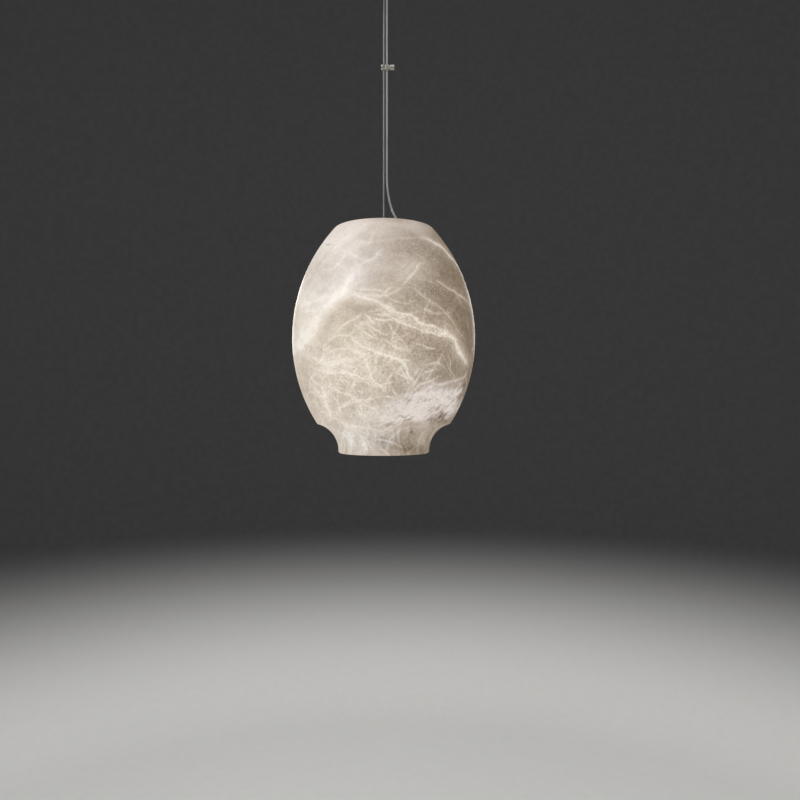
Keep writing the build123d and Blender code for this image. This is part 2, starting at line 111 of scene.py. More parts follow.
# Cable, cord and lead
cable_diameter = 0.002
cable_strands = 6
cable_lay = 0.014
cable_resolution = 320
strand_sides = 8
cable_route = ((0, 0, -0.00495), (0, 0, -0.12), (0, 0, -0.24), (0, 0, -0.3583))
cord_diameter = 0.0022
cord_resolution = 24
cord_bevel = 6
cord_route = (
    (0.0033, 0, -0.01095),
    (0.0033, 0, -0.2495),
    (0.0033, 0, -0.274),
    (0.008, 0, -0.298),
    (0.016, 0, -0.3115),
    (0.016, 0, -0.329),
    (0.016, 0, -0.3464),
)
lead_sides = 20
lead_aside = (1, -1, 0)
lead_route = (
    (0.0033, 0, -0.01095),
    (0.0033, 0, -0.00835),
    (0.006, 0.002, -0.0062),
    (0.011, 0.006, -0.006),
    (0.0175, 0.0115, -0.0062),
    (0.023, 0.016, -0.0066),
    (0.026, 0.0195, -0.007),
    (0.026, 0.0245, -0.007),
)

# Pieces of the lead: how far from the cable they start and stop, and the two bodies named for each
lead_pieces = {
    "wiring_lead_start": (0.0046, 0.0095, "pendant", "ball"),
    "wiring_lead_middle": (0.0118, 0.0162, "ball", "liner"),
    "wiring_lead_end": (0.0188, 0.028, "liner", "ceiling"),
}

# Stone shade
stone_low, stone_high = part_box("alabaster_shade")
stone_radius = stone_high.x
stone_top = stone_high.z
stone_bottom = stone_low.z
rim_radius = 0.0538
waist_drop = 0.1208
shoulder_radius = 0.0729
shoulder_drop = 0.2138
mouth_radius = 0.0499
mouth_lip = 0.0024
neck_bore_length = 0.022
stone_wall = 0.01
stone_top_thickness = 0.016
stem_hole_radius = 0.0055
rim_round = 0.0012
shoulder_round = 0.0005
mouth_round = 0.002
cavity_round = 0.006
pit_depth = 0.0009

# The stone's grid, and the share of its flat map that the outside takes
stone_columns = 760
outside_step = 0.00085
inside_step = 0.004
top_step = 0.0015
corner_points = 5
ray_steps = 400
outside_share = 0.82

# Where painted layers come in or go out, from front to back, and from the middle to the right
front_reach = (-0.1 * stone_radius, 0)
near_reach = (0, 0.5 * stone_radius)
hidden_reach = (-0.1 * stone_radius, 0.4 * stone_radius)
right_reach = (0, 0.5 * stone_radius)

# Tones from 0, a dull brown, to 1, nearly white; columns and rows are picture pixels
# Stone tone and painted shade together: lighter on the left, darker to the right
left_tone_and_light = 0.59
right_tone_and_shade = 0.03
least_tone = 0.07
tone_and_shade_columns = (345, 482)
# Low rows painted lighter: painted light that makes up for the lamps' weaker light there
low_painted_light = 0.11
painted_light_rows = (315, 385)
neck_rows = (424, 431)
neck_depth = 0.06
neck_size = 6
neck_stretch = 6
neck_waves = 16
tone_depth = 0.03
tone_sizes = (0.05, 0.016)
wave_spread = (0.7, 1.6)
# Lift of the far right side, so that the painted shade of the right side does not carry round to the back
far_lift = 0.32
far_even = 0.7

# The far side takes the near side's patches, strayed and moved by picture pixels across and down
place_stray = (3, 2.5)
place_size = 0.03
place_waves = 8
far_shift = (22, -14)

# Rosy, webbed and mottled places, clouds, pits and cracks
rosy_base = 0.35
rosy_depth = 0.1
rosy_size = 0.04
web_base = 0.08
web_depth = 0.08
web_size = 0.03
far_web = 0.28
far_web_waves = (-0.5, 1.0)
mottle_base = 0.3
cloud_share = 0.78
cloud_base = 0.75
cloud_streaks = 0.5
pit_base = 0.7
pit_streaks = 0.6
crack_width = 0.0007
crack_strength = 0.7
crack_fade = 0.4

# Streaks in clouds and pits: slant, how far they are drawn out, and the share, size and count of their waves
streak_slope = math.radians(-28)
streak_length = 2.6
streak_rows = (330, 385)
streak_waves = ((0.65, 0.008, 24), (0.5, 0.0036, 40))

# Veins: their glow, fading ends, flicker, and the ranges that their strands are drawn from
vein_share = 0.8
vein_tone = 1.02
glow_share = 0.42
glow_reach = 0.0035
glow_spread = 2
full_glow_width = 0.0016
soft_reach = 3
shown_steps = 7
far_steps = 9
line_stray = 0.5
line_width = 0.8
line_fade = 0.2
end_strength = 0.25
flicker_depth = 0.15
flicker_turns = (9, 25)
flicker_beat = 13
flicker_start = 6
stray_waves = (0.046, 0.019, 0.008)
stray_falloff = 1.2
strand_strays = (0.5, 1.0)
strand_strengths = (0.5, 0.9)
strand_fade = 0.3
strand_width = 0.6
widest_strand = 0.0011
strand_widths = (0.7, 1.2)

# Fine veins of the web
fine_count = 4200
fine_width = 0.00062
fine_widths = (0.8, 1.4)
fine_step = 0.004
fine_points = (4, 12)
fine_steps = 3
fine_slope = 0.75
fine_slope_spread = 0.4
fine_bend = 0.2
fine_strengths = (0.5, 1.1)
fine_fade = 0.45
fine_densities = (0.05, 0.35)

# Veins of the shown side, with their points in picture pixels
shown_veins = {
    "broad_band": Vein(0.004, 0.002, 0.9, 3, (
        (294, 351), (300, 341), (310, 328), (321, 314), (333, 300), (346, 288))),
    "band_core": Vein(0.0024, 0.0034, 1.0, 6, (
        (293, 355), (296, 349), (303, 337), (311, 327), (319, 317), (332, 301), (345, 288), (351, 276),
        (358, 265))),
    "band_strands": Vein(0.0009, 0.0044, 1.0, 8, (
        (293, 353), (303, 336), (319, 317), (332, 300), (345, 288), (351, 276), (359, 264))),
    "band_tail": Vein(0.0009, 0.0024, 0.55, 4, ((356, 268), (365, 262), (373, 258), (379, 252), (383, 248))),
    "left_fork": Vein(0.0013, 0.0026, 0.85, 5, ((343, 289), (334, 294), (325, 298), (313, 302), (299, 305))),
    "left_fork_lower": Vein(0.001, 0.0014, 0.6, 2, ((326, 308), (318, 310), (311, 310), (304, 312))),
    "ribbon_start": Vein(0.0012, 0.0012, 0.85, 4, (
        (346, 291), (355, 295), (364, 298), (373, 300), (381, 303), (389, 307), (398, 314), (414, 321))),
    "ribbon_top": Vein(0.0011, 0.0013, 0.92, 4, (
        (374, 300), (384, 306), (393, 312), (408, 315), (414, 318), (419, 322), (427, 325), (433, 326),
        (441, 330), (449, 334), (457, 344))),
    "ribbon_foot": Vein(0.0011, 0.0013, 0.85, 4, (
        (376, 309), (389, 315), (401, 322), (411, 326), (420, 330), (429, 332), (440, 335), (449, 337),
        (456, 345))),
    "ribbon_fill": Vein(0.0013, 0.0026, 0.55, 6, (
        (388, 311), (400, 318), (413, 322), (427, 328), (440, 333), (450, 337))),
    "ribbon_end": Vein(0.002, 0.0022, 1.0, 6, (
        (430, 328), (438, 331), (446, 334), (453, 339), (456, 346), (460, 352), (464, 358), (468, 367))),
    "middle_arch": Vein(0.0012, 0.0016, 0.6, 3, (
        (347, 291), (359, 294), (370, 296), (384, 295), (396, 291), (404, 286))),
    "middle_rise": Vein(0.0009, 0.0014, 0.56, 3, (
        (403, 286), (405, 282), (411, 276), (416, 271), (418, 265), (424, 262))),
    "middle_low": Vein(0.001, 0.0014, 0.42, 2, ((350, 290), (366, 289), (380, 291), (393, 293))),
    "right_top": Vein(0.0018, 0.0024, 0.72, 5, (
        (421, 238), (429, 240), (436, 243), (443, 248), (450, 257), (457, 265), (463, 275))),
    "right_middle": Vein(0.0011, 0.0018, 0.52, 4, (
        (433, 279), (440, 283), (448, 288), (457, 293), (464, 299), (471, 306))),
    "right_long": Vein(0.001, 0.0012, 0.5, 3, (
        (412, 287), (422, 295), (432, 302), (444, 311), (452, 321), (459, 332), (465, 340))),
    "right_cross": Vein(0.001, 0.001, 0.42, 2, ((423, 308), (430, 312), (437, 314), (445, 313), (454, 310))),
    "upper_left_jag": Vein(0.001, 0.001, 0.4, 2, (
        (320, 270), (331, 270), (336, 266), (344, 256), (347, 251), (356, 257), (364, 261))),
    "upper_sweep": Vein(0.0026, 0.0014, 0.32, 2, ((336, 243), (352, 233), (372, 222))),
    "upper_right_sweep": Vein(0.0016, 0.0012, 0.22, 2, (
        (340, 245), (362, 242), (386, 240), (406, 238), (424, 238))),
    "lower_middle": Vein(0.0011, 0.0014, 1.0, 3, (
        (345, 341), (351, 348), (357, 353), (364, 359), (368, 367), (373, 379), (383, 389), (390, 399))),
    "lower_long": Vein(0.0011, 0.0014, 1.0, 3, (
        (351, 338), (363, 347), (375, 352), (388, 356), (400, 359), (405, 366), (409, 377), (416, 384))),
    "lower_arch": Vein(0.001, 0.001, 0.32, 2, ((353, 332), (358, 326), (367, 322), (378, 320), (390, 323))),
    "lower_left": Vein(0.0011, 0.002, 1.0, 4, (
        (303, 353), (313, 358), (324, 363), (337, 363), (346, 359), (358, 360))),
    "lower_left_long": Vein(0.0011, 0.002, 1.0, 4, (
        (309, 365), (319, 370), (333, 373), (346, 372), (356, 376), (366, 380))),
    "left_drop": Vein(0.0012, 0.002, 1.0, 4, ((321, 381), (324, 392), (325, 402), (329, 412), (333, 420))),
    "left_drop_side": Vein(0.001, 0.0016, 0.95, 3, (
        (329, 384), (338, 391), (349, 395), (360, 402), (371, 408))),
    "left_drop_hook": Vein(0.001, 0.0014, 0.85, 2, ((337, 414), (343, 405), (351, 400), (356, 396))),
    "right_slant": Vein(0.001, 0.001, 0.36, 2, ((446, 347), (439, 359), (433, 369), (426, 381))),
    "cloud_edge": Vein(0.0013, 0.0012, 0.62, 3, ((468, 369), (464, 377), (455, 381), (445, 383), (435, 386))),
    "cloud_right": Vein(0.001, 0.0012, 0.5, 3, ((461, 380), (455, 390), (451, 400), (444, 409))),
    "shoulder_line": Vein(0.0012, 0.0014, 0.48, 4, (
        (360, 429), (378, 425), (394, 421), (410, 413), (426, 405), (440, 397))),
    "shoulder_left": Vein(0.0011, 0.0012, 0.42, 2, (
        (334, 420), (346, 425), (360, 427), (376, 430), (383, 436))),
    "neck_arch": Vein(0.0012, 0.0008, 0.52, 2, ((424, 426), (406, 428), (396, 433), (389, 441), (386, 452))),
    "neck_left": Vein(0.0011, 0.001, 0.42, 2, ((350, 427), (357, 432), (363, 440), (367, 451))),
    "neck_middle": Vein(0.0011, 0.0008, 0.32, 2, ((372, 430), (379, 438), (381, 452))),
    "neck_right": Vein(0.0013, 0.0008, 0.36, 2, ((430, 428), (421, 436), (417, 453))),
}

# Veins of the far side, with their points as turn in degrees and drop below the shade's top in metres
far_veins = {
    "band": Vein(0.0024, 0.0034, 0.92, 6, (
        (-78, 0.132), (-100, 0.146), (-128, 0.14), (-150, 0.118), (-176, 0.1), (-204, 0.096))),
    "band_end": Vein(0.0016, 0.0026, 0.85, 5, (
        (-204, 0.096), (-226, 0.112), (-246, 0.138), (-262, 0.154), (-276, 0.158))),
    "rise": Vein(0.0011, 0.0018, 0.65, 3, (
        (-150, 0.118), (-160, 0.092), (-166, 0.068), (-182, 0.046), (-192, 0.028))),
    "left_rise": Vein(0.0011, 0.0016, 0.6, 3, (
        (-76, 0.086), (-98, 0.078), (-118, 0.064), (-136, 0.058), (-154, 0.04))),
    "drop": Vein(0.0011, 0.0016, 0.58, 3, (
        (-176, 0.1), (-184, 0.126), (-198, 0.148), (-206, 0.172), (-222, 0.19))),
    "left_drop": Vein(0.0011, 0.0016, 0.58, 3, (
        (-128, 0.14), (-136, 0.164), (-152, 0.178), (-166, 0.196), (-172, 0.21))),
    "right_top": Vein(0.0011, 0.0016, 0.6, 3, (
        (-284, 0.052), (-262, 0.066), (-244, 0.066), (-226, 0.082), (-208, 0.082))),
    "right_slant": Vein(0.001, 0.0014, 0.48, 2, ((-280, 0.086), (-262, 0.1), (-248, 0.122), (-240, 0.148))),
    "left_low": Vein(0.001, 0.0014, 0.48, 2, ((-92, 0.168), (-108, 0.18), (-130, 0.186), (-146, 0.204))),
    "shoulder": Vein(0.0011, 0.0014, 0.48, 3, (
        (-100, 0.216), (-120, 0.222), (-150, 0.226), (-186, 0.222), (-230, 0.228), (-258, 0.22))),
}

# Patches of the shown side: middle, half width and half height in picture pixels, and how much
tone_patches = (
    (332, 234, 26, 20, 0.18), (380, 226, 24, 9, 0.14), (420, 230, 20, 9, 0.18), (402, 265, 26, 11, 0.15),
    (448, 276, 14, 9, -0.1), (356, 308, 20, 8, -0.15), (322, 342, 24, 12, 0.06), (440, 366, 18, 16, 0.05),
    (415, 340, 20, 12, 0.05), (416, 364, 16, 12, 0.08), (396, 391, 14, 9, -0.1), (306, 386, 12, 30, -0.03),
    (358, 440, 16, 12, 0.14), (297, 347, 4, 5, 0.36), (440, 417, 12, 7, -0.22), (463, 391, 6, 11, -0.2),
    (325, 286, 24, 18, 0.12), (300, 310, 8, 36, 0.05), (468, 330, 8, 60, -0.06), (424, 444, 6, 8, 0.1),
    (336, 294, 18, 14, 0.05), (318, 256, 14, 24, 0.08), (452, 290, 18, 28, -0.12), (415, 230, 30, 12, -0.15),
    (395, 258, 26, 14, -0.07), (430, 402, 26, 16, 0.16), (384, 418, 30, 8, 0.06), (387, 443, 16, 10, -0.22),
    (312, 306, 14, 20, 0.2), (300, 325, 10, 40, 0.12), (418, 220, 34, 9, -0.22), (412, 452, 24, 9, -0.34),
    (345, 350, 30, 14, 0.04), (338, 364, 24, 10, 0.04), (450, 418, 6, 5, -0.12), (468, 305, 10, 25, -0.1),
    (346, 386, 46, 36, -0.05), (384, 217, 70, 9, -0.12), (412, 224, 26, 10, -0.1), (340, 364, 24, 14, 0.08),
    (326, 390, 9, 20, 0.08), (424, 415, 22, 8, 0.16), (446, 403, 12, 8, 0.1), (364, 416, 24, 8, 0.08),
    (352, 431, 9, 6, 0.12), (386, 224, 64, 14, -0.2), (414, 416, 20, 6, 0.2), (345, 430, 8, 6, 0.06),
    (304, 336, 5, 6, 0.32), (312, 326, 6, 6, 0.26), (461, 354, 7, 12, 0.16), (430, 327, 8, 5, 0.12),
    (340, 327, 10, 7, 0.08), (460, 316, 8, 10, 0.06),
)
rosy_patches = (
    (380, 248, 90, 36, 0.6), (325, 285, 40, 24, 0.4), (450, 310, 40, 50, -0.2), (350, 365, 60, 50, -0.3),
    (390, 330, 50, 20, -0.2), (440, 400, 36, 24, 0.45), (385, 442, 50, 14, 0.5),
)
web_patches = (
    (375, 332, 60, 28, 0.22), (345, 385, 50, 44, 0.4), (440, 305, 36, 34, 0.08), (430, 360, 44, 34, 0.08),
    (345, 258, 40, 14, 0.08), (375, 440, 26, 12, 0.08), (390, 395, 30, 24, 0.3),
)
mottle_patches = (
    (440, 300, 44, 40, 0.75), (425, 248, 34, 10, 0.5), (430, 355, 44, 30, 0.5), (390, 330, 60, 24, 0.25),
    (418, 443, 20, 14, 0.35), (445, 412, 20, 12, 0.6), (396, 391, 14, 9, 0.4), (345, 385, 50, 40, 0.65),
    (430, 397, 28, 14, 0.8), (384, 418, 60, 10, 0.4), (375, 440, 36, 12, 0.4),
)
cloud_patches = (
    (350, 222, 50, 14, 0.65), (328, 246, 28, 18, 0.35), (412, 227, 24, 8, 0.4), (402, 264, 26, 10, 0.08),
    (432, 395, 22, 10, 1.2), (412, 407, 24, 8, 0.85), (384, 419, 18, 5, 0.65), (450, 402, 10, 12, 0.6),
    (418, 414, 24, 7, 0.75),
)
pit_patches = (
    (439, 417, 10, 5.5, 0.85), (461, 391, 4, 8, 0.45), (415, 431, 2, 1.5, 0.7), (324, 245.5, 1.3, 0.8, 0.6),
    (328, 246, 1.1, 0.7, 0.5),
)

# Brown cracks of the shown side, with their points in picture pixels
cracks = (
    ((371, 427), (378, 428), (385, 427), (391, 425), (396, 425)),
    ((383, 425), (389, 423), (394, 421)),
    ((395, 419), (400, 416), (405, 418), (410, 415)),
    ((402, 421), (408, 419), (414, 416)),
    ((418, 423), (427, 420), (436, 419), (446, 415)),
    ((430, 424), (439, 421), (448, 419)),
    ((459, 398), (462, 391), (465, 384)),
)

# Finish of the stone: its texture, the shares of its colour that are lit and glow, and its colours
grain_size = 0.0022
grain_depth = 0.12
blotch_size = 0.0065
blotch_depth = 0.055
ridge_size = 0.0046
ridge_width = 0.09
ridge_top = 0.1
ridge_foot = -0.05
# Shares of the colour that the lamps light and that the stone gives off as painted glow, outside and inside
stone_lit = 0.28
stone_glow = 0.72
inside_glow = 0.8
stone_roughness = (0.36, 0.5)
cloud_colour = tint(233, 221, 217)
cloud_cover = 0.6
pit_colour = tint(106, 82, 62)
creamy_tones = (
    (0.0, tint(126, 109, 90)), (0.3, tint(167, 150, 129)), (0.52, tint(196, 180, 161)),
    (0.7, tint(219, 206, 187)), (0.85, tint(237, 225, 209)), (1.0, tint(254, 245, 231)),
)
rosy_tones = (
    (0.0, tint(123, 108, 92)), (0.3, tint(163, 149, 134)), (0.52, tint(191, 179, 167)),
    (0.7, tint(214, 204, 195)), (0.85, tint(232, 224, 216)), (1.0, tint(251, 246, 240)),
)

# Parts of a noise's range
middle_part = (0.3, 0.7)
main_part = (0.25, 0.75)
most_part = (0.2, 0.8)

# Finishes of the other pieces, with fine lines as scale along each axis
turned_lines = (300, 300, 9000)
drawn_lines = (9000, 9000, 400)
metal_patch = 0.012
metal_light = 1.08
metal_dark = 0.88
metal_smoother = 0.07
metal_rougher = 0.09
zinc_crystal = 0.004
zinc_bloom = 0.003
zinc_grain = 0.0006
zinc_roughness = (0.34, 0.5)
zinc_dark = tint(168, 171, 174)
zinc_light = tint(200, 202, 205)
broad_grain = 14
speckle_share = 0.6
plain_scatter = 0.06
lamp_lit = 0.4


class Finish:
    """A material with one Principled shader, and short calls for the nodes that feed it."""

    def __init__(self, name, **inputs):
        self.material = bpy.data.materials.new(name)
        self.material.use_nodes = True
        self.nodes = self.material.node_tree.nodes
        self.links = self.material.node_tree.links
        self.shader = self.nodes["Principled BSDF"]
        self.place = self.nodes.new("ShaderNodeTexCoord").outputs["Object"]
        self.set(**inputs)

    def give(self, socket, value):
        if isinstance(value, bpy.types.NodeSocket):
            self.links.new(value, socket)
        else:
            socket.default_value = value

    def set(self, **inputs):
        """Sets inputs of the shader, named with _ for each space."""
        for name, value in inputs.items():
            self.give(self.shader.inputs[name.replace("_", " ")], value)

    def add(self, kind, inputs, output=0, **settings):
        node = self.nodes.new(kind)
        for name, value in settings.items():
            setattr(node, name, value)
        for key, value in inputs.items():
            self.give(node.inputs[key], value)
        return node.outputs[output]

    def noise(self, size, detail=2.0, roughness=0.5, vector=None, distortion=0.0):
        """Noise from 0 to 1 with bumps of about a size in metres."""
        inputs = {"Vector": vector or self.place, "Scale": 1 / size, "Detail": detail}
        return self.add("ShaderNodeTexNoise", inputs | {"Roughness": roughness, "Distortion": distortion})

    def maths(self, operation, first, second=0.0):
        return self.add("ShaderNodeMath", {0: first, 1: second}, operation=operation)

    def spread(self, value, low, high, out_low=0.0, out_high=1.0):
        """Eases a value from one range to another, held at both ends."""
        inputs = {"Value": value, "From Min": low, "From Max": high, "To Min": out_low, "To Max": out_high}
        return self.add("ShaderNodeMapRange", inputs, interpolation_type="SMOOTHSTEP")

    def ramp(self, value, stops):
        node = self.nodes.new("ShaderNodeValToRGB")
        for _ in stops[2:]:
            node.color_ramp.elements.new(0.5)
        for element, (position, colour) in zip(node.color_ramp.elements, stops):
            element.position = position
            element.color = colour
        self.give(node.inputs[0], value)
        return node.outputs[0]

    def mix(self, share, first, second, blend="MIX"):
        inputs = {0: share, 6: first, 7: second}
        return self.add("ShaderNodeMix", inputs, 2, data_type="RGBA", blend_type=blend)

    def dimmed(self, colour, share):
        return self.mix(1.0, colour, (share, share, share, 1.0), "MULTIPLY")

    def attribute(self, name):
        return self.add("ShaderNodeAttribute", {}, "Fac", attribute_name=name)

    def bump(self, height, distance, strength):
        inputs = {"Height": height, "Distance": distance, "Strength": strength}
        self.set(Normal=self.add("ShaderNodeBump", inputs))


def add_object(name, data):
    made = bpy.data.objects.new(name, data)
    scene.collection.objects.link(made)
    return made


def line_run(start, end, step):
    count = math.ceil(math.dist(start, end) / step) + 1
    return np.linspace(start, end, max(count, 2))


def arc_run(centre, radius, first, last, step):
    count = math.ceil(abs((last - first) * radius) / step) + 1
    turns = np.linspace(first, last, max(count, 2))
    return np.column_stack((centre[0] + radius * np.cos(turns), centre[1] + radius * np.sin(turns)))


def bulge_radius(upright, end):
    """Radius of an arc that stands upright at one point and ends at another, below 0 if it flares out."""
    inset = upright[0] - end[0]
    return ((end[1] - upright[1]) ** 2 + inset**2) / (2 * inset)


def bulge_run(upright, end, step):
    radius = bulge_radius(upright, end)
    turn = math.asin((end[1] - upright[1]) / radius)
    return arc_run((upright[0] - radius, upright[1]), radius, 0, turn, step)


def join_runs(runs, rounds):
    """One line of points from several runs, with each corner between two runs rounded by its size."""
    line = runs[0]
    share = np.linspace(0, 1, corner_points + 2)[1:-1, None]
    for run, size in zip(runs[1:], rounds):
        corner = run[0]
        after = run[1:]
        if size:
            line = line[np.linalg.norm(line - corner, axis=1) > size]
            after = after[np.linalg.norm(after - corner, axis=1) > size]
            bow = (1 - share) ** 2 * line[-1] + 2 * share * (1 - share) * corner + share**2 * after[0]
            line = np.vstack((line, bow))
        line = np.vstack((line, after))
    return line


def turned_rings(rows, columns):
    """Rings round the Z axis from (radius, height) rows. Turn 0 faces the camera, and turns go to +X."""
    turns = np.arange(columns) * math.tau / columns
    rings = np.empty((len(rows), columns, 3))
    rings[..., 0] = rows[:, :1] * np.sin(turns)
    rings[..., 1] = -rows[:, :1] * np.cos(turns)
    rings[..., 2] = rows[:, 1:]
    return rings


def ring_object(name, rings, ends):
    """Smooth mesh through rings of points, whose ends are open, capped or joined to each other."""
    count, sides = rings.shape[:2]
    row, column = np.mgrid[: count - (ends != "joined"), :sides]
    below = (row + 1) % count
    beside = (column + 1) % sides
    corners = [(row, column), (below, column), (below, beside), (row, beside)]
    faces = np.stack([down * sides + across for down, across in corners], axis=-1).reshape(-1, 4).tolist()
    if ends == "capped":
        numbers = list(range(count * sides))
        faces = [numbers[:sides], numbers[: -sides - 1 : -1], *faces]
    mesh = bpy.data.meshes.new(name)
    mesh.from_pydata(rings.reshape(-1, 3).tolist(), [], faces)
    mesh.polygons.foreach_set("use_smooth", np.ones(len(faces), bool))
    mesh.update()
    return add_object(name, mesh)


# Camera


def make_camera():
    data = bpy.data.cameras.new("camera")
    data.sensor_width = sensor_width
    data.lens = focal_length / picture_side * sensor_width
    camera = add_object("camera", data)
    camera.location = camera_place
    camera.rotation_euler = (math.pi / 2, 0, 0)
    scene.camera = camera
    scene.view_settings.view_transform = "Standard"


# Cable, cord and lead


def nurbs_curve(name, route, resolution):
    curve = bpy.data.curves.new(name, "CURVE")
    curve.dimensions = "3D"
    curve.resolution_u = resolution
    spline = curve.splines.new("NURBS")
    spline.points.add(len(route) - 1)
    for point, place in zip(spline.points, route):
        point.co = (*place, 1.0)
    spline.order_u = 3
    spline.use_endpoint_u = True
    return add_object(name, curve)


def read_route(route, resolution):
    """Points along a route's smooth line."""
    guide = nurbs_curve("guide", route, resolution)
    mesh = bpy.data.meshes.new_from_object(guide)
    points = np.array([vertex.co for vertex in mesh.vertices])
    curve = guide.data
    bpy.data.objects.remove(guide)
    bpy.data.curves.remove(curve)
    bpy.data.meshes.remove(mesh)
    return points


def cable_rings(path):
    """Rings of strands that lie round a middle one, three across, twisted along an upright path."""
    sides = strand_sides * cable_strands
    turns = np.arange(sides) * math.tau / sides
    half = math.pi / cable_strands
    off = (turns + half) % (2 * half) - half
    strand_radius = cable_diameter / 6
    radii = strand_radius * (2 * np.cos(off) + np.sqrt(np.maximum(1 - (2 * np.sin(off)) ** 2, 0)))
    spin = turns + math.tau * (path[0, 2] - path[:, 2:]) / cable_lay
    rings = np.repeat(path[:, None], sides, axis=1)
    rings[..., 0] += radii * np.cos(spin)
    rings[..., 1] += radii * np.sin(spin)
    return rings


def lead_rings(path):
    """Rings of the lead's round sheath, along a path that never runs in the direction lead_aside."""
    ahead = np.gradient(path, axis=0)
    ahead /= np.linalg.norm(ahead, axis=1)[:, None]
    across = np.cross(ahead, lead_aside)
    across /= np.linalg.norm(across, axis=1)[:, None]
    over = np.cross(ahead, across)
    turns = np.arange(lead_sides) * math.tau / lead_sides
    spokes = np.cos(turns)[:, None] * across[:, None] - np.sin(turns)[:, None] * over[:, None]
    return path[:, None] + cord_diameter / 2 * spokes


def make_cable(finishes):
    path = read_route(cable_route, cable_resolution)
    cable = ring_object("hanging_cable", cable_rings(path), "capped")
    cable.data.materials.append(finishes["cable_steel"])
    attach(cable, "pendant")
    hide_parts("suspension_cable")


def make_cord(finishes):
    cord = nurbs_curve("hanging_cord", cord_route, cord_resolution)
    cord.data.bevel_depth = cord_diameter / 2
    cord.data.bevel_resolution = cord_bevel
    cord.data.use_fill_caps = True
    cord.data.materials.append(finishes["cord_plastic"])
    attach(cord, "pendant")
    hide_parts("power_cord")


def make_lead(finishes):
    """The lead in three pieces, one for each joint between the ceiling and the shade."""
    path = read_route(lead_route, cord_resolution)
    rings = lead_rings(path)
    reach = np.hypot(path[:, 0], path[:, 1])
    starts, stops, _, _ = zip(*lead_pieces.values())
    splits = [(stop + start) / 2 for stop, start in zip(stops, starts[1:])]
    cuts = [0, *np.searchsorted(reach, splits), len(path) - 1]
    for (name, (start, stop, inner, outer)), first, last in zip(lead_pieces.items(), cuts, cuts[1:]):
        piece = ring_object(name, rings[first:last + 1], "capped")
        piece.data.materials.append(finishes["cord_plastic"])
        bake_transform(piece)
        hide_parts("canopy_lead")


# Stone shade: its section


def stone_section():
    """Closed half section of the stone as (radius, height) rows, and how many of them are outside."""
    rim = (rim_radius, stone_top)
    waist = (stone_radius, stone_top - waist_drop)
    shoulder = (shoulder_radius, stone_top - shoulder_drop)
    lip = (mouth_radius, stone_bottom + mouth_lip)
    mouth = (mouth_radius, stone_bottom)
    bore = (mouth_radius - stone_wall, stone_bottom)
    bore_top = (bore[0], stone_bottom + neck_bore_length)
    room_waist = (stone_radius - stone_wall, waist[1])
    room_bend = bulge_radius(waist, rim) - stone_wall
    room_centre = (room_waist[0] - room_bend, room_waist[1])
    room_turn = math.asin((waist_drop - stone_top_thickness) / room_bend)
    room_rim = (room_centre[0] + room_bend * math.cos(room_turn), stone_top - stone_top_thickness)
    outside = [
        line_run((stem_hole_radius, stone_top), rim, top_step),
        bulge_run(waist, rim, outside_step)[::-1],
        bulge_run(waist, shoulder, outside_step),
        bulge_run(lip, shoulder, outside_step)[::-1],
        line_run(lip, mouth, outside_step),
        line_run(mouth, bore, outside_step),
    ]
    inside = [
        line_run(bore, bore_top, inside_step / 2),
        bulge_run(room_waist, bore_top, inside_step)[::-1],
        arc_run(room_centre, room_bend, 0, room_turn, inside_step),
        line_run(room_rim, (stem_hole_radius, room_rim[1]), inside_step),
    ]
    rounds = (rim_round, 0, shoulder_round, 0, mouth_round, mouth_round, 0, 0, cavity_round)
    outside_rows = len(join_runs(outside, rounds[:len(outside) - 1]))
    return join_runs(outside + inside, rounds), outside_rows


# Stone shade: veins and tones painted on its grid


class Canvas:
    """The outside of the stone as a grid, one row per section point and one column per turn."""

    def __init__(self, rows):
        self.radii = rows[:, 0]
        self.heights = rows[:, 1]
        steps = np.linalg.norm(np.diff(rows, axis=0), axis=1)
        self.lengths = np.concatenate(([0.0], np.cumsum(steps)))
        self.side = np.flatnonzero(self.heights < stone_top - rim_round / 2)
        self.turn_step = math.tau / stone_columns

    def blank(self):
        return np.zeros((len(self.radii), stone_columns))

    def radius_at(self, length):
        return np.interp(length, self.lengths, self.radii)

    def at_height(self, height, values):
        """One value per row, read at a height on the stone's side."""
        return np.interp(-height, -self.heights[self.side], values[self.side])

    def under(self, pixel):
        """Turn and length where the camera's ray through a picture pixel meets the stone."""
        middle = picture_side / 2
        ray = np.array((pixel[0] - middle, focal_length, middle - pixel[1])) / focal_length
        depths = np.linspace(-stone_radius, 0, ray_steps) - camera_place[1]
        points = np.array(camera_place) + depths[:, None] * ray
        section = self.at_height(points[:, 2], self.radii)
        gap = np.hypot(points[:, 0], points[:, 1]) - section
        found = points[np.argmax(gap <= 0) if (gap <= 0).any() else np.argmin(gap)]
        return math.atan2(found[0], -found[1]), float(self.at_height(found[2], self.lengths))

    def lay(self, field, line, width, strength):
        """Lays a soft line of (turn, length) points on a field, with one strength per point."""
        reach = soft_reach * width
        for start, end, power in zip(line, line[1:], strength):
            radius = max(float(self.radius_at((start[1] + end[1]) / 2)), reach)
            run = ((end[0] - start[0]) * radius, end[1] - start[1])
            low, high = sorted((start[1], end[1]))
            first, last = np.searchsorted(self.lengths, (low - reach, high + reach))
            left, right = sorted((start[0], end[0]))
            left = math.floor((left - reach / radius) / self.turn_step)
            right = math.ceil((right + reach / radius) / self.turn_step)
            places = np.arange(left, right + 1)
            across = (places * self.turn_step - start[0])[None] * radius
            along = (self.lengths[first:last] - start[1])[:, None]
            square = run[0] ** 2 + run[1] ** 2 + tiny
            share = np.clip((across * run[0] + along * run[1]) / square, 0, 1)
            gap = (across - share * run[0]) ** 2 + (along - share * run[1]) ** 2
            block = np.ix_(np.arange(first, last), places % stone_columns)
            field[block] = np.maximum(field[block], power * np.exp(-gap / (2 * width**2)))


